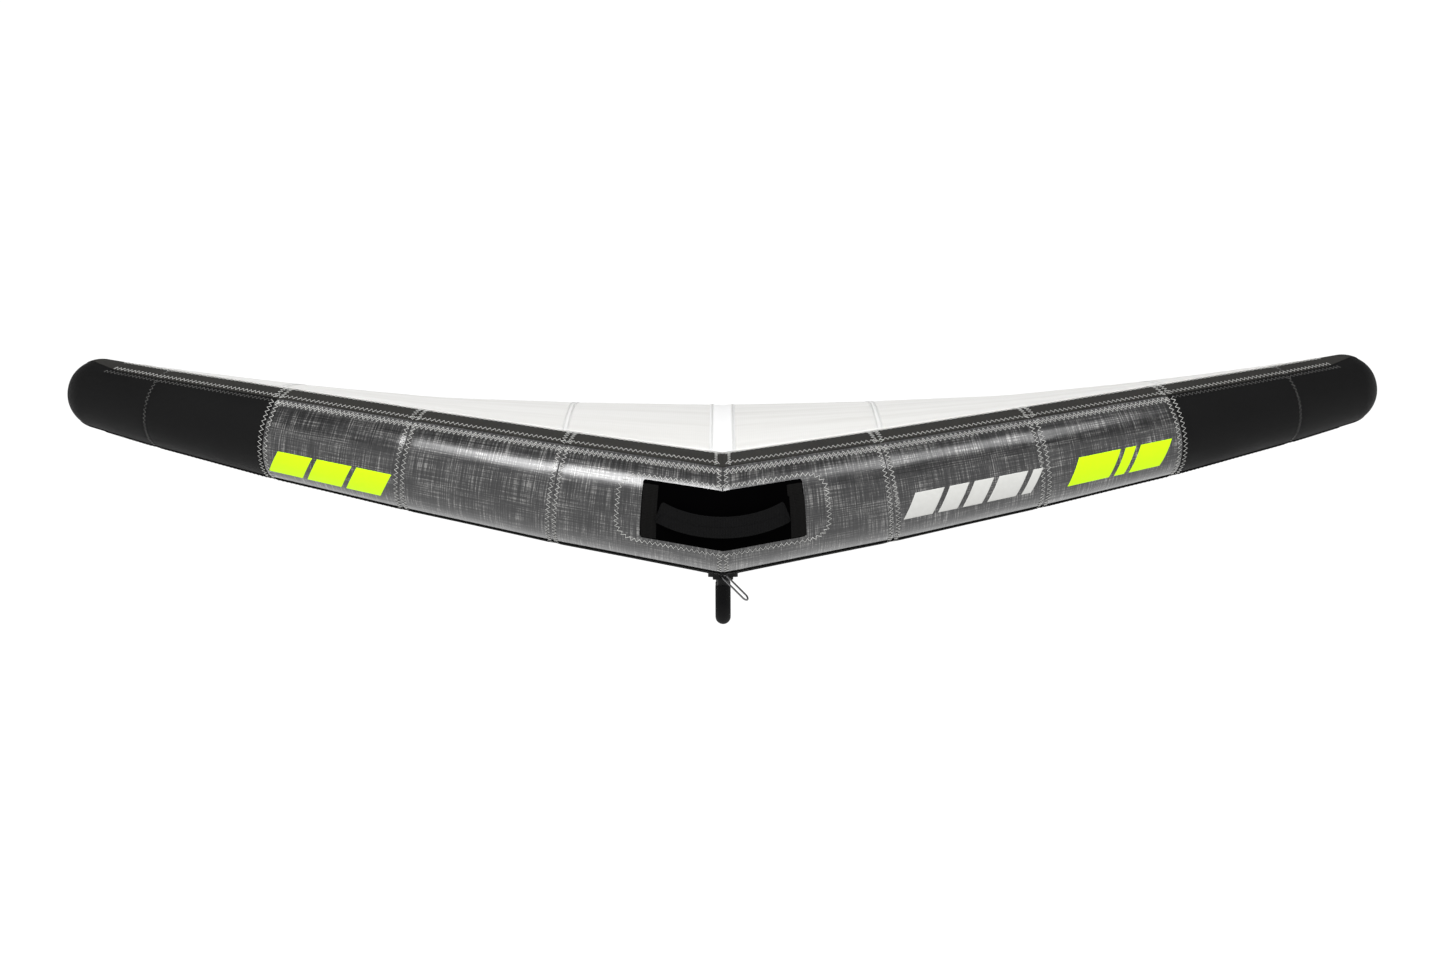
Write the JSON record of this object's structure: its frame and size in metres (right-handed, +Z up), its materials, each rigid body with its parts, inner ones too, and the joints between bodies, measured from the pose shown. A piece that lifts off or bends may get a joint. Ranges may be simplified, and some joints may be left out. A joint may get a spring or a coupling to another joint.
{
  "type": "inflatable foil wing",
  "caption": "Hand-held inflatable wing with a swept air-tube leading edge, white canopy, centre strut, two rigid handles, webbing handle, valve and leash ring.",
  "frame": {"origin": "centre of the front rigid handle's grip, where the rider's front hand holds the wing", "axes": "+X to the right as seen from the front, along the span; +Y from the leading edge back to the trailing edge; +Z up, from the handles to the canopy"},
  "size_m": [2.845, 1.9632, 0.5775],
  "materials": {
    "laminate": "satin laminated scrim",
    "black_dacron": "matte woven",
    "band_cloth": "matte woven",
    "canopy_cloth": "satin ripstop",
    "spine_cloth": "satin woven",
    "web_cloth": "matte woven",
    "hem_tape": "matte woven",
    "batten_rod": "satin",
    "bladder_film": "soft film",
    "padded_patch": "matte knit",
    "webbing": "matte webbing",
    "handle_plastic": "fine grain",
    "grip_foam": "matte foam",
    "steel": "polished",
    "zip_plastic": "satin",
    "valve_plastic": "satin",
    "valve_rubber": "matte",
    "hose_rubber": "satin"
  },
  "bodies": {
    "wing": {"batten_left": "batten_rod", "batten_pocket_left": "hem_tape", "batten_pocket_right": "hem_tape", "batten_right": "batten_rod", "canopy_inner_left": "canopy_cloth", "canopy_inner_right": "canopy_cloth", "canopy_mid_left": "canopy_cloth", "canopy_mid_right": "canopy_cloth", "canopy_outer_left": "canopy_cloth", "canopy_outer_right": "canopy_cloth", "canopy_spine": "spine_cloth", "edge_bladder": "bladder_film", "edge_handle_patch": "padded_patch", "edge_handle_tabs": "webbing", "edge_keel_strip": "band_cloth", "edge_panel_inner_left": "laminate", "edge_panel_inner_right": "laminate", "edge_panel_mid_left": "laminate", "edge_panel_mid_right": "laminate", "edge_panel_outer_left": "laminate", "edge_panel_outer_right": "laminate", "edge_panel_shoulder_left": "black_dacron", "edge_panel_shoulder_right": "black_dacron", "edge_panel_tip_left": "black_dacron", "edge_panel_tip_right": "black_dacron", "edge_top_band": "band_cloth", "front_handle_frame": "handle_plastic", "front_handle_grip": "grip_foam", "front_handle_patch": "black_dacron", "front_handle_plate": "handle_plastic", "front_handle_screws": "steel", "hose_clamp_body": "valve_plastic", "hose_clamp_pin": "steel", "hose_edge_fitting": "valve_plastic", "hose_strut_elbow": "valve_plastic", "leash_loop": "webbing", "pump_hose": "hose_rubber", "rear_handle_frame": "handle_plastic", "rear_handle_grip": "grip_foam", "rear_handle_patch": "black_dacron", "rear_handle_plate": "handle_plastic", "rear_handle_screws": "steel", "spine_web": "web_cloth", "strut_bladder": "bladder_film", "strut_sleeve": "black_dacron", "strut_tail_cap": "handle_plastic", "strut_zip_tape": "black_dacron", "strut_zip_teeth": "zip_plastic", "trailing_hem_left": "hem_tape", "trailing_hem_right": "hem_tape", "valve_body": "valve_plastic", "valve_hinge_pin": "steel", "valve_spring": "steel"},
    "webbing_handle": {"edge_handle_webbing": "webbing"},
    "leash_ring_body": {"leash_ring": "steel"},
    "cap": {"valve_cap": "valve_plastic"},
    "poppet": {"valve_poppet": "valve_rubber"},
    "clamp_lever": {"hose_clamp_lever": "valve_plastic"},
    "slider": {"zip_slider": "zip_plastic"},
    "pull": {"zip_pull": "zip_plastic"}
  },
  "joints": [
    {"name": "webbing_handle_lift", "type": "hinge", "parent": "wing", "child": "webbing_handle", "pos_m": [0, -0.45876, 0.25668], "axis": [-1, 0, 0], "range_deg": [0, 50]},
    {"name": "leash_ring_swing", "type": "hinge", "parent": "wing", "child": "leash_ring_body", "pos_m": [0, -0.19576, 0.09468], "axis": [0, 1, 0], "range_deg": [-20, 110]},
    {"name": "valve_cap_hinge", "type": "hinge", "parent": "wing", "child": "cap", "pos_m": [0.19721, -0.22048, 0.1778], "axis": [-0.9771, -0.128, -0.1701], "range_deg": [0, 140]},
    {"name": "valve_poppet_push", "type": "slide", "parent": "wing", "child": "poppet", "axis": [0.0275, -0.8681, 0.4956], "range_m": [0, 0.005], "stiffness_N_per_m": 250, "springref_m": -0.003, "deforming": ["valve_spring"]},
    {"name": "hose_clamp_press", "type": "hinge", "parent": "wing", "child": "clamp_lever", "pos_m": [0.106, -0.11676, 0.20468], "axis": [-1, 0, 0], "range_deg": [0, 100]},
    {"name": "strut_zip_slide", "type": "slide", "parent": "wing", "child": "slider", "axis": [0.0284, 0.9956, 0.0889], "range_m": [0, 0.24]},
    {"name": "zip_pull_swing", "type": "hinge", "parent": "slider", "child": "pull", "pos_m": [-0.05899, 0.78124, 0.21206], "axis": [-0.4685, -0.0654, 0.8811], "range_deg": [0, 160]}
  ]
}
